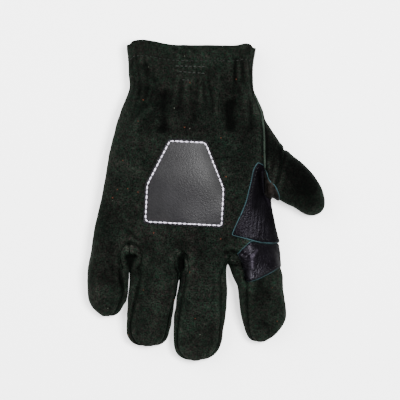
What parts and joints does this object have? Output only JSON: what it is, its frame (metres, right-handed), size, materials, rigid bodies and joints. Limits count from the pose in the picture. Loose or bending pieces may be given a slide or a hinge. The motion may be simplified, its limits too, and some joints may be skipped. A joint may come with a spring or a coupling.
{
  "type": "leather work glove",
  "caption": "Right-hand suede work glove lying palm down, with smooth leather patches, a gathered wrist and a badge plate on its back.",
  "frame": {"origin": "on the surface that the glove rests on, at the flat underside of the palm patch", "axes": "+Y from the fingertips to the cuff, +Z out of the back of the hand, +X to the thumb side"},
  "size_m": [0.1852, 0.2507, 0.0367],
  "materials": {
    "suede": "matte black suede with a green-brown cast",
    "smooth_leather": "semi-gloss black leather",
    "badge_vinyl": "satin dark grey",
    "raw_edge": "pale raw cut edge"
  },
  "bodies": {
    "root": {"back_panel": "suede", "palm_panel": "suede", "fourchette_little_ring": "suede", "fourchette_ring_middle": "suede", "fourchette_middle_index": "suede", "thumb": "suede", "cuff_hem": "suede", "side_welt": "raw_edge", "saddle_patch": "smooth_leather", "index_patch": "smooth_leather", "thumb_patch": "smooth_leather", "palm_patch": "smooth_leather", "badge": "badge_vinyl"}
  },
  "joints": []
}
